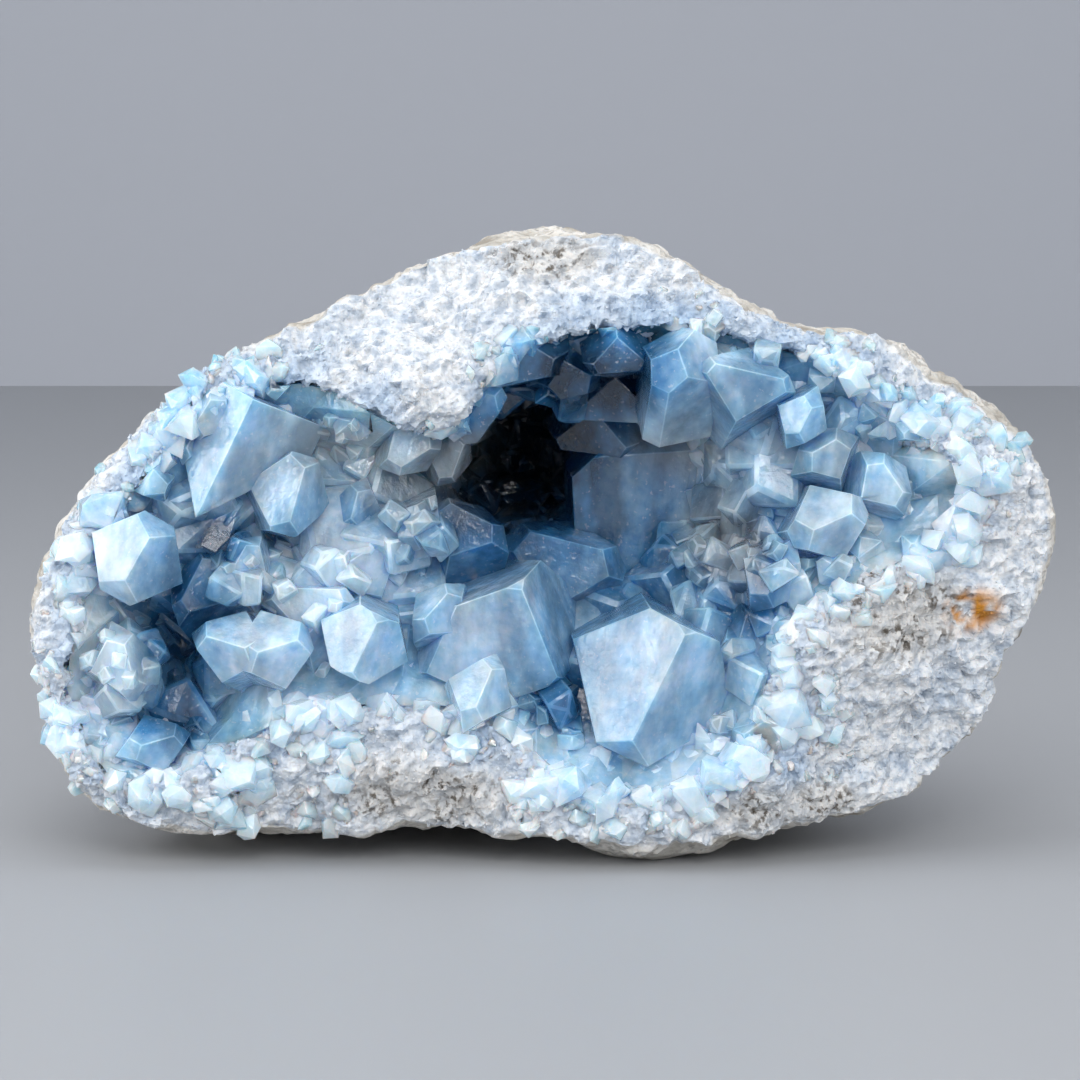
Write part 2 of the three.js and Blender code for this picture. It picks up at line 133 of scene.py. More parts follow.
def merged_copy(node):
    """A node's loose triangles as one closed mesh."""
    form = bmesh.new()
    form.from_mesh(frame["nodes"][node].data)
    bmesh.ops.remove_doubles(form, verts=form.verts, dist=0.002 * MM)
    return form


def smoothstep(low, high, x):
    t = np.clip((x - low) / (high - low), 0, 1)
    return t * t * (3 - 2 * t)


def noise_at(points, size, seed):
    """Smooth noise, from -1 to 1, at each point. size is the width of its lumps in millimetres."""
    shift = Vector((1.7, 3.1, 5.3)) * seed
    scale = 1 / (size * MM)
    return np.array([noise.noise(Vector(p) * scale + shift) for p in points])


ZONE_EDGE = (1.25, 0.45)  # where a zone ends, and where it is full, as shares of its reach


def zone_share(points, zones):
    """1 in the middle of any zone, falling to 0 round its reach. A zone is an oval seen from the front: its
    middle (x, z) and its two reaches are in millimetres."""
    share = np.zeros(len(points))
    for (x, z), (across, up) in zones:
        off = np.hypot((points[:, 0] / MM - x) / across, (points[:, 2] / MM - z) / up)
        share = np.maximum(share, smoothstep(*ZONE_EDGE, off))
    return share


# %% [markdown]
# ## The rock's surface
# The rock was broken with a hammer. Its rind is a rounded, chalky skin with pits, and its broken face is a
# mass of sugary crystals. The solid gives the lumps and hollows down to about a centimetre. A voxel remesh
# makes even small faces all over, which can then be pushed in and out: broad lumps everywhere, and
# tilted chips on the broken face. A subdivided copy would keep the solid's long thin triangles.

# %% Rock: an even mesh
ROCK_VOXEL = 1.75 * MM

rock_form = merged_copy("matrix_rock")
rock_tree = BVHTree.FromBMesh(rock_form)
rock_mesh = bpy.data.meshes.new("sugary_rock")
rock_form.to_mesh(rock_mesh)
rock_form.free()
rock = add_object("sugary_rock", rock_mesh)
even = rock.modifiers.new("even faces", "REMESH")
even.mode = "VOXEL"
even.voxel_size = ROCK_VOXEL
rock_mesh = plain_mesh(rock)
print("rock:", len(rock_mesh.polygons), "faces")

# %% Rock: which part is broken
FACES_FRONT = (0.35, 0.75)  # how squarely a face looks to the front, where it stops being rind
LIP = 16  # this near the crystals, in millimetres, the rock is broken whichever way it looks


def neighbours_mean(mesh, values, rounds):
    """Softens values over a mesh: each becomes the mean of its own and its neighbours'."""
    ends = np.empty(len(mesh.edges) * 2, np.int32)
    mesh.edges.foreach_get("vertices", ends)
    a, b = ends.reshape(-1, 2).T
    count = np.bincount(a, minlength=len(values)) + np.bincount(b, minlength=len(values))
    for _ in range(rounds):
        total = np.bincount(a, values[b], len(values)) + np.bincount(b, values[a], len(values))
        values = (values + total / count) / 2
    return values


crust_form = merged_copy("crystal_crust")
crust_solid = BVHTree.FromBMesh(crust_form)
points = read(rock_mesh)
to_front = np.array([-rock_tree.find_nearest(Vector(p))[1].y for p in points])
from_crust = np.array([crust_solid.find_nearest(Vector(p))[3] for p in points])
near_crust = smoothstep(LIP * MM, 0.4 * LIP * MM, from_crust)
broken = neighbours_mean(rock_mesh, np.maximum(smoothstep(*FACES_FRONT, to_front), near_crust), 5)
print(f"{broken.mean():.0%} of the surface is broken, and the rest is rind")

# %% Rock: lumps and chips
LUMPS = [(24, 2.1), (11, 1.5), (5, 0.8)]  # width and height, in millimetres
CHIP = 4.6  # width of a chip of the broken face
CHIP_TILT = 0.5
CHIP_DEEPEST = 1.4
CHIPS_TO_A_SQUARE = 2.2  # of the chip's own width, so that chips overlap
ON_RIND = 0.35  # of the chips' height stays where the rock wears its rind
SOLE = (1, 5)  # the resting spots don't move: heights where moving starts, and where it is full
AWAY = (6, 20)  # the lumps grow higher between these distances from the crystals
HIGHER = 0.4  # and by this share


def chips(points, size, tilt, seed):
    """How far a chipped surface lies off a smooth one: each point is on the tilted plane of the nearest
    chip's middle."""
    picker = np.random.default_rng(seed)
    width, depth, height = np.ptp(points, axis=0)
    count = int(CHIPS_TO_A_SQUARE * (width * height + depth * height) / (size * MM) ** 2)
    middles = points[picker.choice(len(points), count, replace=False)]
    slopes = picker.normal(size=(count, 3)) * tilt
    tree = kdtree.KDTree(count)
    for i, middle in enumerate(middles):
        tree.insert(Vector(middle), i)
    tree.balance()
    nearest = np.array([tree.find(Vector(p))[1] for p in points])
    return np.sum((points - middles[nearest]) * slopes[nearest], axis=1)


push = sum(height * noise_at(points, width, 3 + width) for width, height in LUMPS) * MM
push *= 1 + HIGHER * smoothstep(AWAY[0] * MM, AWAY[1] * MM, from_crust)
chipped = np.clip(chips(points, CHIP, CHIP_TILT, 5), -CHIP_DEEPEST * MM, CHIP_DEEPEST * MM)
push += chipped * (ON_RIND + (1 - ON_RIND) * broken)
above_sole = smoothstep(SOLE[0] * MM, SOLE[1] * MM, points[:, 2])[:, None]
move(rock_mesh, points + read(rock_mesh, "normal") * push[:, None] * above_sole)
print("rock pushed by up to", round(float(np.abs(push).max() / MM), 2), "mm")

# %% [markdown]
# ## Crystals and grains by the thousand
# Between the large crystals sit small ones, and the broken rim glitters with grains like coarse sugar.
# Placing them by hand is hopeless, and joined copies from a loop in Python are slow. Geometry Nodes strew
# points over a surface, none too near another, and put one of a few small shapes on each, turned and
# sized at random. Everything is then made real mesh, because instances would be lost when it is exported.

# %% A few small crystal shapes
SHOWN = math.radians(25)  # edges sharper than this are blunted
SAME_FACE = math.radians(4)  # faces that differ less are one
UNEVEN = 0.045  # how far a corner strays from its place


def blunt(form, edges, width):
    """Cuts a narrow face along each edge, marks it as worn and shades it smooth."""
    worn = form.faces.layers.float.get("worn") or form.faces.layers.float.new("worn")
    cut = bmesh.ops.bevel(
        form, geom=edges, offset=width, offset_type="OFFSET", affect="EDGES",
        segments=1, profile=0.5, clamp_overlap=False, loop_slide=True,
    )
    for face in cut["faces"]:
        face[worn] = 1
        face.smooth = True


def block(picker):
    """The corners of a stout block with a hipped tip, one unit tall."""
    wide = picker.uniform(0.34, 0.54)
    thick = wide * picker.uniform(0.65, 1.0)
    shoulder = picker.uniform(0.7, 0.88)
    ridge = wide * picker.choice([0.25, 0.5, 0.7])
    corners = [(x * wide, y * thick, z) for x in (-1, 1) for y in (-1, 1) for z in (0, shoulder)]
    return corners + [(-ridge, 0, 1), (ridge, 0, 1)]


def crumb(picker, corners=8):
    """The corners of a broken piece: points on a ball, one unit tall."""
    ways = [Vector(way).normalized() for way in picker.normal(size=(corners, 3))]
    return [way * 0.5 + Vector((0, 0, 0.5)) for way in ways]


def chunk(picker):
    """The corners of an irregular crystal, half block and half broken piece."""
    return [(1.1 * x, 0.9 * y, z) for x, y, z in crumb(picker, 13)]


def small_shape(name, corners, picker, buried, worn):
    """The closed form around some corners, of which a part is buried. Its edges may be worn."""
    form = bmesh.new()
    for corner in corners:
        form.verts.new(Vector(corner) + Vector(picker.normal(size=3)) * UNEVEN - Vector((0, 0, buried)))
    bmesh.ops.convex_hull(form, input=form.verts)
    bmesh.ops.dissolve_limit(form, angle_limit=SAME_FACE, verts=form.verts, edges=form.edges)
    bmesh.ops.recalc_face_normals(form, faces=form.faces)
    if worn:
        blunt(form, [edge for edge in form.edges if edge.calc_face_angle() > SHOWN], worn)
    mesh = bpy.data.meshes.new(name)
    form.to_mesh(mesh)
    form.free()
    return mesh


def shape_set(name, corners_of, count, seed, buried, worn=0):
    """A hidden collection of small shapes for the nodes to pick from."""
    picker = np.random.default_rng(seed)
    collection = bpy.data.collections.new(name)
    for i in range(count):
        mesh = small_shape(f"{name}_{i}", corners_of(picker), picker, buried, worn)
        collection.objects.link(bpy.data.objects.new(mesh.name, mesh))
    return collection


crystal_shapes = shape_set("small_crystal", block, 12, 11, buried=0.52, worn=0.055)
chunk_shapes = shape_set("crystal_chunk", chunk, 12, 13, buried=0.7)
grain_shapes = shape_set("sugar_grain", crumb, 7, 12, buried=0.5)

# %% A tool that adds a node
def add(tree, kind, inputs=None, output=None, stops=(), **settings):
    """Adds a node with its settings. inputs gives each input, by its name or place, a value or the output
    that feeds it, and stops are a ramp's (place, colour) pairs. Returns the named output, or else the
    first one in use."""
    node = tree.nodes.new(kind)
    for setting, value in settings.items():
        setattr(node, setting, value)
    for key, value in (inputs or {}).items():
        by_name = (socket for socket in node.inputs if socket.enabled and socket.name == key)
        socket = node.inputs[key] if isinstance(key, int) else next(by_name)
        if isinstance(value, bpy.types.NodeSocket):
            tree.links.new(value, socket)
        else:
            socket.default_value = value
    for i, (place, shade) in enumerate(stops):
        ends = node.color_ramp.elements
        stop = ends[i] if i < 2 else ends.new(place)
        stop.position = place
        stop.color = shade
    return next((socket for socket in node.outputs if socket.enabled and output in (None, socket.name)), None)


# %% The strewing tree
STREW_INPUTS = [
    ("Surface", "NodeSocketGeometry"),
    ("Shapes", "NodeSocketCollection"),
    ("Material", "NodeSocketMaterial"),
    ("Spacing", "NodeSocketFloat"),
    ("Smallest", "NodeSocketFloat"),
    ("Largest", "NodeSocketFloat"),
    ("Lean", "NodeSocketFloat"),
    ("Seed", "NodeSocketInt"),
]
DENSEST = 4e6  # points to a square metre, before the spacing thins them
OFTEN_SMALL = 2.2  # the power that makes small sizes more frequent than large ones


def strewing_tree():
    """Strews shapes over a surface. Its 'growth' value says where, and 'size' how large."""
    tree = bpy.data.node_groups.new("strew", "GeometryNodeTree")
    for name, kind in STREW_INPUTS:
        tree.interface.new_socket(name, in_out="INPUT", socket_type=kind)
    tree.interface.new_socket("Mesh", in_out="OUTPUT", socket_type="NodeSocketGeometry")
    given = tree.nodes.new("NodeGroupInput").outputs

    growth = add(tree, "GeometryNodeInputNamedAttribute", {"Name": "growth"}, data_type="FLOAT")
    points = add(
        tree, "GeometryNodeDistributePointsOnFaces",
        {
            "Mesh": given["Surface"], "Distance Min": given["Spacing"], "Density Max": DENSEST,
            "Density Factor": growth, "Seed": given["Seed"],
        },
        distribute_method="POISSON",
    )
    upright = points.node.outputs["Rotation"]

    least = add(tree, "ShaderNodeMath", {0: given["Lean"], 1: -1.0}, operation="MULTIPLY")
    low = add(tree, "ShaderNodeCombineXYZ", {"X": least, "Y": least, "Z": -math.pi})
    high = add(tree, "ShaderNodeCombineXYZ", {"X": given["Lean"], "Y": given["Lean"], "Z": math.pi})
    turn = add(
        tree, "FunctionNodeRandomValue", {"Min": low, "Max": high, "Seed": 1}, data_type="FLOAT_VECTOR"
    )
    turned = add(
        tree, "FunctionNodeRotateRotation", {"Rotation": upright, "Rotate By": turn}, rotation_space="LOCAL"
    )

    chance = add(tree, "FunctionNodeRandomValue", {"Min": 0.0, "Max": 1.0, "Seed": 2}, data_type="FLOAT")
    often_small = add(tree, "ShaderNodeMath", {0: chance, 1: OFTEN_SMALL}, operation="POWER")
    length = add(
        tree, "ShaderNodeMapRange",
        {"Value": often_small, "To Min": given["Smallest"], "To Max": given["Largest"]},
    )
    share = add(tree, "GeometryNodeInputNamedAttribute", {"Name": "size"}, data_type="FLOAT")
    sized = add(tree, "ShaderNodeMath", {0: length, 1: share}, operation="MULTIPLY")

    shapes = add(
        tree, "GeometryNodeCollectionInfo",
        {"Collection": given["Shapes"], "Separate Children": True, "Reset Children": True},
    )
    placed = add(
        tree, "GeometryNodeInstanceOnPoints",
        {"Points": points, "Instance": shapes, "Pick Instance": True, "Rotation": turned, "Scale": sized},
    )
    tint = add(tree, "FunctionNodeRandomValue", {"Min": 0.0, "Max": 1.0, "Seed": 3}, data_type="FLOAT")
    tinted = add(
        tree, "GeometryNodeStoreNamedAttribute", {"Geometry": placed, "Name": "tint", "Value": tint},
        data_type="FLOAT", domain="INSTANCE",
    )
    real = add(tree, "GeometryNodeRealizeInstances", {"Geometry": tinted})
    tint = add(tree, "GeometryNodeInputNamedAttribute", {"Name": "tint"}, data_type="FLOAT")
    real = add(
        tree, "GeometryNodeStoreNamedAttribute", {"Geometry": real, "Name": "crystal", "Value": tint},
        data_type="FLOAT", domain="FACE",
    )
    finished = add(tree, "GeometryNodeSetMaterial", {"Geometry": real, "Material": given["Material"]})
    add(tree, "NodeGroupOutput", {"Mesh": finished})
    return tree


strew_tree = strewing_tree()


def strew(name, surface, size, **values):
    """A piece of many small shapes, strewn over a copy of a surface where its growth is above 0."""
    mesh = surface.copy()
    store(mesh, "size", size)
    piece = add_object(name, mesh)
    strewing = piece.modifiers.new("strew", "NODES")
    strewing.node_group = strew_tree
    for item in strew_tree.interface.items_tree:
        if item.name in values:
            strewing[item.identifier] = values[item.name]
    made = plain_mesh(piece)
    print(f"{name}: {len(made.polygons)} faces")
    return piece

# %% [markdown]
# ## Places on the geode
# No two parts of a real geode are alike. Crystals are painted dark, as shade, in the deep places behind the
# lip, and pale on the left bank, and grains of other minerals turn a few clusters grey. Crystals spill over
# the lip in some places, and dirt and iron stain others. Each such place is an oval seen from the front, with
# soft edges, so it can be moved like a part. A painted map would need an image, and wouldn't follow the form.

# %% Places
# Each zone's middle (x, z) and its two reaches, in millimetres.
# Painted shade: ovals where the hollow lies in shadow behind the lip, and its crystals are painted darker.
SHADE_ZONES = [
    ((-103, 64), (13, 24)),
    ((-107, 44), (12, 12)),
    ((-95, 94), (10, 7)),
    ((16, 143), (30, 14)),
    ((-8, 112), (26, 24)),
    ((6, 48), (16, 10)),
    ((60, 84), (12, 20)),
]
GREY_ZONES = [
    ((-35, 114), (26, 14)),
    ((-58, 121), (18, 8)),
    ((41, 119), (17, 13)),
    ((54, 95), (13, 17)),
]
PALE_ZONES = [
    ((-84, 58), (38, 18)),
    ((-128, 72), (16, 40)),
    ((-12, 50), (26, 10)),
    ((104, 104), (34, 26)),
    ((-60, 84), (30, 14)),
    ((-80, 112), (22, 22)),
]
SPILLS = [
    ((-112, 62), (40, 58)),
    ((-70, 30), (40, 22)),
    ((20, 26), (52, 18)),
    ((112, 118), (34, 26)),
    ((70, 40), (20, 30)),
]
STAINS = [((126, 74), (9, 7)), ((47, 132), (3.5, 2))]
GRIMY = [
    ((104, 76), (24, 20)),
    ((101, 114), (8, 8)),
    ((-34, 22), (30, 13)),
    ((2, 176), (20, 8)),
    ((74, 17), (34, 8)),
]
BARE = [
    ((-52, 140), (32, 14)),
    ((12, 160), (44, 9)),
    ((66, 154), (26, 7)),
]

# %% [markdown]
# ## The crust of crystals
# Celestite grows glassy blocks with flat faces, and the blocks in a hollow grow into each other. The crust's
# solid gives the large ones. Small ones are strewn on its lining and over the rock's lip. If they only
# overlapped, light would bend at every hidden face, so a boolean union fuses them all to one glassy body.
# Its manifold solver joins over a thousand crystals in two seconds, where the exact one takes minutes.

# %% Tell the large crystals apart
# Two faces of one crystal meet flat or in an edge that stands out, so a walk that crosses no valley stays
# on the crystal.
VALLEY = math.radians(-0.6)


def next_faces(face):
    """The faces beyond a face's edges that are no valleys."""
    for edge in face.edges:
        if edge.is_manifold and edge.calc_face_angle_signed(0) > VALLEY:
            yield from edge.link_faces


def crystals_of(form):
    """Sorts the faces by crystal. Patches of bare lining between the crystals are sorted out too."""
    crystals = []
    seen = set()
    for start in form.faces:
        if start in seen:
            continue
        seen.add(start)
        crystal = [start]
        for face in crystal:
            fresh = [other for other in set(next_faces(face)) if other not in seen]
            seen.update(fresh)
            crystal.extend(fresh)
        crystals.append(crystal)
    return crystals


# %% Small crystals on the lining
LINING = 9 * MM  # what stays this near the rock is lining
LARGEST = 36 * MM  # crystals of this length stay bare
BREAK = (-81, 0.15)  # Y of the broken face at the ground, and how far it leans back for each millimetre up
OVERGROWN = 0.45  # how thickly small crystals grow on half of the middling ones
IN_GREY = 0.3  # share of a grey zone from which a crystal is overgrown all over
ROOMY = (3, 22)  # how far behind the broken face crystals start to grow larger, and where they are full size
CRAMPED = 0.5  # their share of the full size before that
SMALLER_IN_GREY = 0.45

picker = np.random.default_rng(4)
share_layer = crust_form.faces.layers.float.new("crystal")
growth_layer = crust_form.faces.layers.float.new("growth")
crystals = crystals_of(crust_form)
for crystal in crystals:
    share = picker.random()
    corners_here = np.array([corner.co for face in crystal for corner in face.verts])
    bare = max(rock_tree.find_nearest(Vector(corner))[3] for corner in corners_here) < LINING
    growth = float(zone_share(corners_here.mean(axis=0)[None], GREY_ZONES)[0] > IN_GREY)
    if share < 0.5 and np.ptp(corners_here, axis=0).max() < LARGEST:
        growth = OVERGROWN
    for face in crystal:
        face[share_layer] = share
        face[growth_layer] = 1.0 if bare else growth
print(len(crystals), "large crystals and patches of lining")
lining = bpy.data.meshes.new("lining")
crust_form.to_mesh(lining)
crust_form.free()
points = read(lining)
inward = points[:, 1] - BREAK[0] * MM - BREAK[1] * points[:, 2]
roomy = CRAMPED + (1 - CRAMPED) * smoothstep(ROOMY[0] * MM, ROOMY[1] * MM, inward)
roomy *= 1 - SMALLER_IN_GREY * zone_share(points, GREY_ZONES)
druse = strew(
    "druse", lining, roomy * (0.7 + 0.3 * smoothstep(-0.4, 0.4, noise_at(points, 24, 2))),
    Shapes=crystal_shapes, Spacing=5.4 * MM, Smallest=11 * MM, Largest=26 * MM, Lean=0.5, Seed=3,
)

# %% Crystals that spill over the lip
# The left rim is crystals right to its edge, and the top is bare sugar. Two noises gather the crystals in
# clusters, and they grow only on what looks to the front.
points = read(rock_mesh)
at_lip = smoothstep(LIP * MM, 2 * MM, from_crust) * broken
clustered = smoothstep(-0.3, 0.05, noise_at(points, 16, 6)) * smoothstep(-0.35, 0.0, noise_at(points, 9, 4))
in_view = smoothstep(0.4, 0.8, neighbours_mean(rock_mesh, to_front, 8))
spilt = zone_share(points, SPILLS) * clustered * in_view * (1 - zone_share(points, GRIMY))
lined = at_lip ** 2 * (1 - zone_share(points, BARE)) * (0.4 + 0.6 * clustered)
cover = np.clip(np.maximum(lined, 0.8 * spilt), 0, 1)
store(rock_mesh, "growth", cover)
spill = strew(
    "spill", rock_mesh, 0.45 + 0.55 * cover,
    Shapes=chunk_shapes, Spacing=2.3 * MM, Smallest=4 * MM, Largest=17 * MM, Lean=0.6, Seed=5,
)

# %% Fuse the crystals to one body
def fusing_tree():
    """Splits a mesh into its separate closed forms, and unites them to one."""
    tree = bpy.data.node_groups.new("fuse", "GeometryNodeTree")
    tree.interface.new_socket("Forms", in_out="INPUT", socket_type="NodeSocketGeometry")
    tree.interface.new_socket("Mesh", in_out="OUTPUT", socket_type="NodeSocketGeometry")
    forms = tree.nodes.new("NodeGroupInput").outputs["Forms"]
    island = add(tree, "GeometryNodeInputMeshIsland", output="Island Index")
    apart = add(tree, "GeometryNodeSplitToInstances", {"Geometry": forms, "Group ID": island}, domain="FACE")
    fused = add(tree, "GeometryNodeMeshBoolean", {1: apart}, operation="UNION", solver="MANIFOLD")
    add(tree, "NodeGroupOutput", {"Mesh": fused})
    return tree


together = bmesh.new()
store(lining, "worn", np.zeros(len(lining.polygons)), "FACE")
for mesh in (lining, druse.data, spill.data):
    store(mesh, "large", np.full(len(mesh.polygons), mesh == lining), "FACE")
    store(mesh, "powdery", np.full(len(mesh.polygons), mesh == spill.data), "FACE")
    together.from_mesh(mesh)
crust_mesh = bpy.data.meshes.new("celestite_crust")
together.to_mesh(crust_mesh)
together.free()
for piece in (druse, spill):
    bpy.data.objects.remove(piece)
crust = add_object("celestite_crust", crust_mesh)
crust.modifiers.new("fuse", "NODES").node_group = fusing_tree()
crust_mesh = plain_mesh(crust)
print("fused crust:", len(crust_mesh.polygons), "faces")

# %% One face for each crystal face
FLATNESS = math.radians(0.6)
SLIVER = 0.12 * MM

crust_form = bmesh.new()
crust_form.from_mesh(crust_mesh)
bmesh.ops.remove_doubles(crust_form, verts=crust_form.verts, dist=SLIVER)
bmesh.ops.dissolve_limit(crust_form, angle_limit=FLATNESS, verts=crust_form.verts, edges=crust_form.edges)
crust_form.normal_update()
print("crust:", len(crust_form.faces), "faces")

# %% Worn edges of the large crystals
# The valleys between crystals stay sharp, as they are where two grew together.
SHORTEST_EDGE = 1.2 * MM
WEAR = 0.24 * MM

large_layer = crust_form.faces.layers.float["large"]
outer_edges = [
    edge
    for edge in crust_form.edges
    if edge.is_manifold and edge.calc_face_angle_signed(0) > SHOWN and edge.calc_length() > SHORTEST_EDGE
]
blunt(crust_form, [e for e in outer_edges if all(face[large_layer] > 0.5 for face in e.link_faces)], WEAR)
worn_layer = crust_form.faces.layers.float["worn"]
for face in crust_form.faces:
    face.smooth = face[worn_layer] > 0.5
bmesh.ops.triangulate(crust_form, faces=crust_form.faces)
bmesh.ops.dissolve_degenerate(crust_form, edges=crust_form.edges, dist=0.001 * MM)
crust_form.to_mesh(crust_mesh)
crust_form.free()
print("crust with worn edges:", len(crust_mesh.polygons), "triangles")

# %% [markdown]
# ## What changes from place to place
# Crystals far back in the hollow are clearer, and their blue is painted darker there as shade; those at the
# mouth are milky. Some clusters are grey or greenish with grains of other minerals. A few named values for
# each vertex say where a surface is, and every material reads them, so neighbouring pieces change colour
# together.

# %% Keep what changes from place to place
DEEPENS = (-96, 45)  # Y where the painted shade starts to darken the blue, and where it is darkest
SHADED = (-84, -62)  # Y where the dark zones begin, and where they are full, behind the lip
DARKER = 0.55
PALER = 0.12


def store_place(mesh, points):
    """Keeps how grey the stone is at each vertex, and how blue, with painted shade further back in the
    hollow.
    """
    deep = smoothstep(DEEPENS[0] * MM, DEEPENS[1] * MM, points[:, 1])
    dark = zone_share(points, SHADE_ZONES) * smoothstep(SHADED[0] * MM, SHADED[1] * MM, points[:, 1])
    deep += DARKER * dark - PALER * zone_share(points, PALE_ZONES)
    store(mesh, "deep", np.clip(deep, -0.2, 1))
    store(mesh, "grey", zone_share(points, GREY_ZONES))


points = read(crust_mesh)
above_rock = np.array([rock_tree.find_nearest(Vector(p))[3] for p in points])
store(crust_mesh, "root", smoothstep(9 * MM, 2 * MM, above_rock))
store_place(crust_mesh, points)

points = read(rock_mesh)
store(rock_mesh, "broken", broken)
store(rock_mesh, "lip", at_lip)
store_place(rock_mesh, points)

# %% [markdown]
# ## Celestite
# Celestite is strontium sulphate: brittle, glassy crystals, clear to milky. Its colour could be painted on
# an opaque surface, but then it looks like plastic. Here a share of the light passes through, set by
# transmission, the mineral's IOR and a blue absorption, and the milky share scatters below the surface.

# %% Colours of celestite
def colour(code):
    """A hex colour as seen on a screen, turned to the linear values that light adds up in."""
    parts = [int(code[i:i + 2], 16) / 255 for i in (1, 3, 5)]
    linear = [c / 12.92 if c <= 0.04045 else ((c + 0.055) / 1.055) ** 2.4 for c in parts]
    return (*linear, 1)


CELESTITE_IOR = 1.62
BLUES = [(0.0, "#D0E3F3"), (0.25, "#98C6E6"), (0.55, "#4C94C8"), (1.0, "#0F395C")]
GREY_GREEN = colour("#C8D2D6")
# A chalky white for specks, cracks and powder, also used as a painted highlight along worn edges.
CHALK_AND_EDGE_LIGHT = colour("#E6EBF6")
ABSORBED_TO = colour("#8FC1E8")
ABSORPTION = 8.0

# %% A material's first nodes
def new_material(name):
    material = bpy.data.materials.new(name)
    material.use_nodes = True
    tree = material.node_tree
    tree.nodes.clear()
    return material, tree, add(tree, "ShaderNodeTexCoord", output="Object")


def per_mm(width):
    """The scale that gives a noise clouds of that width in millimetres."""
    return 1 / (width * MM)


# %% Colour of celestite
CLOUDS = (14, 0.6)  # width in millimetres, and how much they change the tone
MOTTLE = (3.2, 0.4)
DEEPENED_BY = {"crystal": 0.2, "root": -0.08, "large": 0.06, "powdery": 0.06}
TONE_START = 0.6  # the sum of the above on a pale crystal at the mouth
GREYEST = 0.8
EDGE_CHALK_AND_HIGHLIGHT = 0.06  # how whitish a worn edge is painted: chipped chalk, and partly a painted highlight along the edge
SPECKS = {"From Min": 0.64, "From Max": 0.7, "To Max": 0.35}
CRACKS = {"From Min": 0.42, "From Max": 0.75, "To Max": 0.6}
POWDER = {"From Min": 0.46, "From Max": 0.62, "To Max": 0.5}


def celestite_colour(tree, place):
    """Pale at the mouth, painted a darker blue as shade in the pit, grey in a few clusters, and no two
    crystals quite alike.
    """
    kept = {
        name: add(tree, "ShaderNodeAttribute", output="Fac", attribute_name=name)
        for name in ("deep", "grey", "worn", *DEEPENED_BY)
    }
    clouds = add(tree, "ShaderNodeTexNoise", {"Vector": place, "Scale": per_mm(CLOUDS[0]), "Detail": 3.0})
    mottle = add(tree, "ShaderNodeTexNoise", {"Vector": place, "Scale": per_mm(MOTTLE[0]), "Detail": 3.0})
    dust = add(tree, "ShaderNodeTexNoise", {"Vector": place, "Scale": per_mm(1.3), "Detail": 2.0})
    patches = add(tree, "ShaderNodeTexNoise", {"Vector": place, "Scale": per_mm(7), "Detail": 4.0})
    cracks = add(
        tree, "ShaderNodeTexNoise", {"Vector": place, "Scale": per_mm(6), "Detail": 4.0, "Distortion": 0.6},
        noise_type="RIDGED_MULTIFRACTAL", normalize=True,
    )

    # Painted shade: the tone starts from the stored depth and shade value, so crystals far back in the hollow
    # and in the shade ovals are painted a darker blue.
    tone = kept["deep"]
    for name, share in DEEPENED_BY.items():
        tone = add(tree, "ShaderNodeMath", {0: kept[name], 1: share, 2: tone}, operation="MULTIPLY_ADD")
    tone = add(tree, "ShaderNodeMath", {0: clouds, 1: CLOUDS[1], 2: tone}, operation="MULTIPLY_ADD")
    tone = add(tree, "ShaderNodeMath", {0: mottle, 1: MOTTLE[1], 2: tone}, operation="MULTIPLY_ADD")
    tone = add(tree, "ShaderNodeMath", {0: tone, 1: TONE_START}, operation="SUBTRACT")
    blue = add(tree, "ShaderNodeValToRGB", {"Fac": tone}, stops=[(at, colour(c)) for at, c in BLUES])
    greying = add(tree, "ShaderNodeMath", {0: kept["grey"], 1: GREYEST}, operation="MULTIPLY")
    greyed = add(tree, "ShaderNodeMix", {"Factor": greying, "A": blue, "B": GREY_GREEN}, data_type="RGBA")

    specks = add(tree, "ShaderNodeMapRange", {"Value": dust, **SPECKS})
    cracked = add(tree, "ShaderNodeMapRange", {"Value": cracks, **CRACKS})
    powder = add(tree, "ShaderNodeMapRange", {"Value": patches, **POWDER})
    powder = add(tree, "ShaderNodeMath", {0: powder, 1: kept["powdery"]}, operation="MULTIPLY")
    # Worn edges get a painted highlight, partly chipped chalk, joined with the chalky specks, cracks and
    # powder.
    chalk_and_edge_highlight = add(tree, "ShaderNodeMath", {0: kept["worn"], 1: EDGE_CHALK_AND_HIGHLIGHT}, operation="MULTIPLY")
    for share in (specks, cracked, powder):
        chalk_and_edge_highlight = add(tree, "ShaderNodeMath", {0: chalk_and_edge_highlight, 1: share}, operation="MAXIMUM")
    return add(tree, "ShaderNodeMix", {"Factor": chalk_and_edge_highlight, "A": greyed, "B": CHALK_AND_EDGE_LIGHT}, data_type="RGBA")


# %% Share of the light that passes through celestite
VEILS = {"From Min": 0.36, "From Max": 0.6, "To Min": 0.12, "To Max": 0.5}  # from milky to clear
CLEARED_BY = {"deep": 0.5, "root": -0.25, "powdery": -0.2}
CLEARED_ON_CHIPS = -0.15


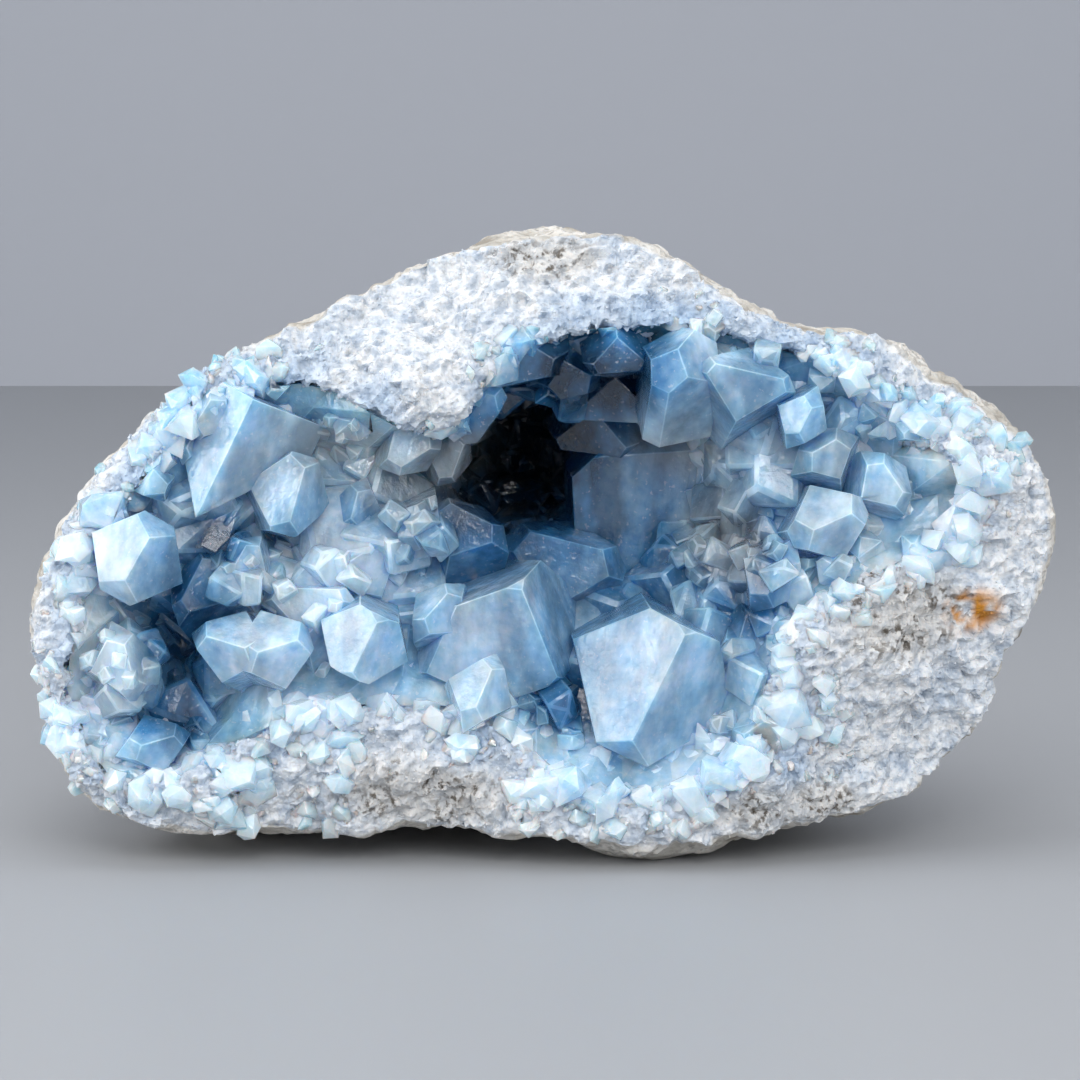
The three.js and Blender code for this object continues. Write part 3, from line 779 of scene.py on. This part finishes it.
def celestite_clearness(tree, place):
    """Veils of tiny bubbles make a crystal milky. Deep in the hollow it is clear, and on chips it isn't."""
    kept = {
        name: add(tree, "ShaderNodeAttribute", output="Fac", attribute_name=name)
        for name in ("worn", *CLEARED_BY)
    }
    flat = add(tree, "ShaderNodeMapping", {"Vector": place, "Scale": (1, 1, 0.45)})
    veils = add(tree, "ShaderNodeTexNoise", {"Vector": flat, "Scale": per_mm(10), "Detail": 4.0})
    clear = add(tree, "ShaderNodeMapRange", {"Value": veils, **VEILS})
    for name, share in CLEARED_BY.items():
        clear = add(tree, "ShaderNodeMath", {0: kept[name], 1: share, 2: clear}, operation="MULTIPLY_ADD")
    return add(
        tree, "ShaderNodeMath", {0: kept["worn"], 1: CLEARED_ON_CHIPS, 2: clear},
        operation="MULTIPLY_ADD", use_clamp=True,
    )


# %% Celestite
SCATTER = 9  # millimetres that light wanders in milky crystal
SMOOTH = {"From Min": 0.35, "From Max": 0.65, "To Min": 0.05, "To Max": 0.2}
WORN_ROUGHNESS = 0.06
WAVES = (7, 0.4)  # width and height in millimetres of the swells on a face
STEPS = (2.0, 0.5)  # and of its growth steps


def celestite_material():
    """Glassy crystal, see-through in part, that scatters the rest of the light inside."""
    material, tree, place = new_material("celestite_crystal")
    worn = add(tree, "ShaderNodeAttribute", output="Fac", attribute_name="worn")
    dull = add(tree, "ShaderNodeTexNoise", {"Vector": place, "Scale": per_mm(5), "Detail": 3.0})
    smooth = add(tree, "ShaderNodeMapRange", {"Value": dull, **SMOOTH})
    rough = {0: worn, 1: WORN_ROUGHNESS, 2: smooth}
    waves = add(tree, "ShaderNodeTexNoise", {"Vector": place, "Scale": per_mm(WAVES[0]), "Detail": 1.0})
    steps = add(tree, "ShaderNodeTexNoise", {"Vector": place, "Scale": per_mm(STEPS[0]), "Detail": 3.0})
    wavy = add(tree, "ShaderNodeBump", {"Strength": 1.0, "Distance": WAVES[1] * MM, "Height": waves})
    stepped = {"Strength": 0.8, "Distance": STEPS[1] * MM, "Height": steps, "Normal": wavy}
    surface = add(
        tree, "ShaderNodeBsdfPrincipled",
        {
            "Base Color": celestite_colour(tree, place),
            "Roughness": add(tree, "ShaderNodeMath", rough, operation="MULTIPLY_ADD"),
            "IOR": CELESTITE_IOR,
            "Transmission Weight": celestite_clearness(tree, place),
            "Subsurface Weight": 1.0,
            "Subsurface Radius": (0.5, 0.8, 1.0),
            "Subsurface Scale": SCATTER * MM,
            "Specular IOR Level": 0.75,
            "Normal": add(tree, "ShaderNodeBump", stepped),
        },
    )
    inner = add(tree, "ShaderNodeVolumeAbsorption", {"Color": ABSORBED_TO, "Density": ABSORPTION})
    add(tree, "ShaderNodeOutputMaterial", {"Surface": surface, "Volume": inner})
    return material


celestite_crystal = celestite_material()

# %% [markdown]
# ## Sugary rock
# The rock is celestite too, but in grains as fine as sugar, so it scatters all light and is white. Its
# rind is weathered to a warm grey. Dirt sits in specks, and iron has stained one spot orange. One material
# does it all, because broken face and rind run into each other.

# %% Colour of the rock
RIND = [(0.34, "#8C857A"), (0.46, "#C9C5BC"), (0.6, "#E4E1DB")]
SUGAR = [(0.34, "#AAB6C4"), (0.46, "#D0D7DF"), (0.58, "#EAECEE")]
ICY = colour("#97C4EA")
# Painted shade: the dark blue painted on the hollow's wall, far back where it lies in shadow.
PIT_SHADE = colour("#123552")
GRIME = colour("#5C554C")
WARM = colour("#BDB5A9")
IRON = colour("#C8871F")
ICY_PATCHES = {"From Min": 0.3, "From Max": 0.7, "To Min": -0.5, "To Max": 0.5}
ICIEST = 0.45
FRESH = {"From Min": 0.15, "From Max": 0.6}  # where rind gives way to sugar
DIRT_SPECKS = {"From Min": 0.5, "From Max": 0.62}
DIRT_PATCHES = {"From Min": 0.42, "From Max": 0.56}
WARMEST = 0.5


def rock_colour(tree, place):
    """White and icy blue sugar, grey rind, the specks and stains of other minerals, and painted shade on the
    hollow's wall.
    """
    kept = {
        name: add(tree, "ShaderNodeAttribute", output="Fac", attribute_name=name)
        for name in ("broken", "lip", "inside", "grime", "stain")
    }
    blotches = add(tree, "ShaderNodeTexNoise", {"Vector": place, "Scale": per_mm(12), "Detail": 5.0})
    grain = add(tree, "ShaderNodeTexNoise", {"Vector": place, "Scale": per_mm(3), "Detail": 4.0})
    patches = add(tree, "ShaderNodeTexNoise", {"Vector": place, "Scale": per_mm(16), "Detail": 2.0})
    dirt = add(tree, "ShaderNodeTexNoise", {"Vector": place, "Scale": per_mm(2.2), "Detail": 4.0})

    rind = add(tree, "ShaderNodeValToRGB", {"Fac": blotches}, stops=[(at, colour(c)) for at, c in RIND])
    sugar = add(tree, "ShaderNodeValToRGB", {"Fac": grain}, stops=[(at, colour(c)) for at, c in SUGAR])
    icy = add(tree, "ShaderNodeMapRange", {"Value": patches, **ICY_PATCHES})
    icy = add(tree, "ShaderNodeMath", {0: icy, 1: kept["lip"]}, operation="ADD")
    icy = add(tree, "ShaderNodeMath", {0: icy, 1: ICIEST}, operation="MULTIPLY", use_clamp=True)
    shade = add(
        tree, "ShaderNodeMix", {"Factor": icy, "A": sugar, "B": ICY}, data_type="RGBA", blend_type="MULTIPLY"
    )
    # Painted shade: the hollow's wall is painted dark blue further back, as shade.
    shade = add(tree, "ShaderNodeMix", {"Factor": kept["inside"], "A": shade, "B": PIT_SHADE}, data_type="RGBA")
    fresh = add(tree, "ShaderNodeMapRange", {"Value": kept["broken"], **FRESH})
    shade = add(tree, "ShaderNodeMix", {"Factor": fresh, "A": rind, "B": shade}, data_type="RGBA")

    specks = add(tree, "ShaderNodeMapRange", {"Value": dirt, **DIRT_SPECKS})
    patchy = add(tree, "ShaderNodeMapRange", {"Value": blotches, **DIRT_PATCHES})
    for share in (patchy, kept["grime"]):
        specks = add(tree, "ShaderNodeMath", {0: specks, 1: share}, operation="MULTIPLY")
    warm = add(tree, "ShaderNodeMath", {0: kept["grime"], 1: WARMEST}, operation="MULTIPLY")
    shade = add(tree, "ShaderNodeMix", {"Factor": warm, "A": shade, "B": WARM}, data_type="RGBA")
    shade = add(tree, "ShaderNodeMix", {"Factor": specks, "A": shade, "B": GRIME}, data_type="RGBA")
    return add(tree, "ShaderNodeMix", {"Factor": kept["stain"], "A": shade, "B": IRON}, data_type="RGBA")


# %% Sugary rock
ROUGH = {"To Min": 0.85, "To Max": 0.5}  # from rind to sugar


def rock_material():
    """Rough, lightly scattering sugar, with a bump of grains and crumbs."""
    material, tree, place = new_material("sugary_rock")
    broken_face = add(tree, "ShaderNodeAttribute", output="Fac", attribute_name="broken")
    grain = add(tree, "ShaderNodeTexVoronoi", {"Vector": place, "Scale": per_mm(1.4)}, feature="F1")
    crumbs = add(tree, "ShaderNodeTexNoise", {"Vector": place, "Scale": per_mm(2.4), "Detail": 4.0})
    height = add(tree, "ShaderNodeMath", {0: grain, 1: -0.5, 2: crumbs}, operation="MULTIPLY_ADD")
    surface = add(
        tree, "ShaderNodeBsdfPrincipled",
        {
            "Base Color": rock_colour(tree, place),
            "Roughness": add(tree, "ShaderNodeMapRange", {"Value": broken_face, **ROUGH}),
            "Subsurface Weight": 0.3,
            "Subsurface Radius": (0.7, 0.85, 1.0),
            "Subsurface Scale": 1.5 * MM,
            "Normal": add(tree, "ShaderNodeBump", {"Strength": 0.8, "Distance": 1.0 * MM, "Height": height}),
        },
    )
    add(tree, "ShaderNodeOutputMaterial", {"Surface": surface})
    return material


DARKENS = (-10, 40)  # Y where the hollow's wall starts to be painted dark blue as shade, and where it is darkest
STAINED = (-38, -56)  # Y where a stain starts, and where it is full: the rock behind has none
DIRT_ON_BROKEN = 0.25  # outside the grimy zones
DIRT_ON_RIND = 0.5

points = read(rock_mesh)
store(rock_mesh, "inside", smoothstep(DARKENS[0] * MM, DARKENS[1] * MM, points[:, 1]) * broken)
stained = zone_share(points, STAINS) * smoothstep(-0.3, 0.0, noise_at(points, 4, 8))
store(rock_mesh, "stain", stained * smoothstep(STAINED[0] * MM, STAINED[1] * MM, points[:, 1]))
dirty = np.maximum(zone_share(points, GRIMY), DIRT_ON_BROKEN) * broken
store(rock_mesh, "grime", np.maximum(dirty, DIRT_ON_RIND * (1 - broken)))
sugary_rock = rock_material()
rock_mesh.materials.clear()
rock_mesh.materials.append(sugary_rock)
crust_mesh.materials.clear()
crust_mesh.materials.append(celestite_crystal)

# %% Sugar of the rim
rock_mesh.attributes.remove(rock_mesh.attributes["growth"])
store(rock_mesh, "growth", smoothstep(0.25, 0.7, broken))
sugar = strew(
    "sugar_grains", rock_mesh, 0.75 + 0.25 * at_lip,
    Shapes=grain_shapes, Material=sugary_rock, Spacing=1.85 * MM,
    Smallest=0.9 * MM, Largest=2.3 * MM, Lean=1.2, Seed=7,
)

# %% [markdown]
# ## The studio
# A stone dealer lights such a piece with one large soft box at the left, whose mirror image makes single
# faces flash white, a second one overhead, and a weak fill at the right.

# %% Floor and backdrop
def plain(name, code, roughness):
    material, tree, _ = new_material(name)
    finish = {"Base Color": colour(code), "Roughness": roughness}
    add(tree, "ShaderNodeOutputMaterial", {"Surface": add(tree, "ShaderNodeBsdfPrincipled", finish)})
    return material


def stage_plane(name, corners, material):
    mesh = bpy.data.meshes.new(name)
    mesh.from_pydata(corners, [], [(0, 1, 2, 3)])
    mesh.materials.append(material)
    add_object(name, mesh)


REACH = 4  # metres that the floor and the wall reach to each side
WALL = (1.7, -1, 3)  # its Y, its lower edge and its upper edge, in metres

floor = [(-REACH, -REACH, 0), (REACH, -REACH, 0), (REACH, REACH, 0), (-REACH, REACH, 0)]
stage_plane("floor", floor, plain("pale_floor", "#A6A8AB", 0.5))
behind, low, high = WALL
wall = [(-REACH, behind, low), (REACH, behind, low), (REACH, behind, high), (-REACH, behind, high)]
stage_plane("backdrop", wall, plain("grey_backdrop", "#B8BBC2", 0.9))

# %% Lights
def soft_box(name, place, width, height, watts):
    light = bpy.data.lights.new(name, "AREA")
    light.shape = "RECTANGLE"
    light.size = width
    light.size_y = height
    light.energy = watts
    lamp = add_object(name, light)
    lamp.location = place
    lamp.rotation_euler = (Vector(place) - AIM).to_track_quat("Z", "Y").to_euler()


soft_box("left_box", (-1.15, -0.42, 0.52), 0.95, 0.9, 9)
soft_box("top_box", (0.1, -0.15, 1.3), 1.1, 0.9, 4.5)
soft_box("front_box", (0.2, -1.7, 1.1), 1.4, 1.0, 20)
soft_box("right_fill", (1.2, -0.9, 0.6), 0.7, 0.7, 3)

world = bpy.data.worlds.new("studio")
world.use_nodes = True
background = world.node_tree.nodes["Background"]
background.inputs["Color"].default_value = colour("#D5D9E0")
background.inputs["Strength"].default_value = 0.85
bpy.context.scene.world = world
bpy.context.scene.view_settings.view_transform = "Standard"

# Light is lost in milky stone after a few turns, and a plain wall needs few rays.
rays = bpy.context.scene.cycles
rays.max_bounces = 8
rays.transmission_bounces = 8
rays.adaptive_threshold = 0.5
rays.use_light_tree = False

# %% [markdown]
# ## Handing the pieces to the frame
# Each piece rides on the part's one body, and stands for a imported solid or adds to it.

# %% Attach
PIECES = [
    (rock, "matrix", "matrix_rock"),
    (crust, "celestite", "crystal_crust"),
    (sugar, "matrix", None),
]
for piece, slot, node in PIECES:
    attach(piece, "root")
    if node:
        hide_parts(node)


def corners(box):
    return [list(corner) for corner in box]
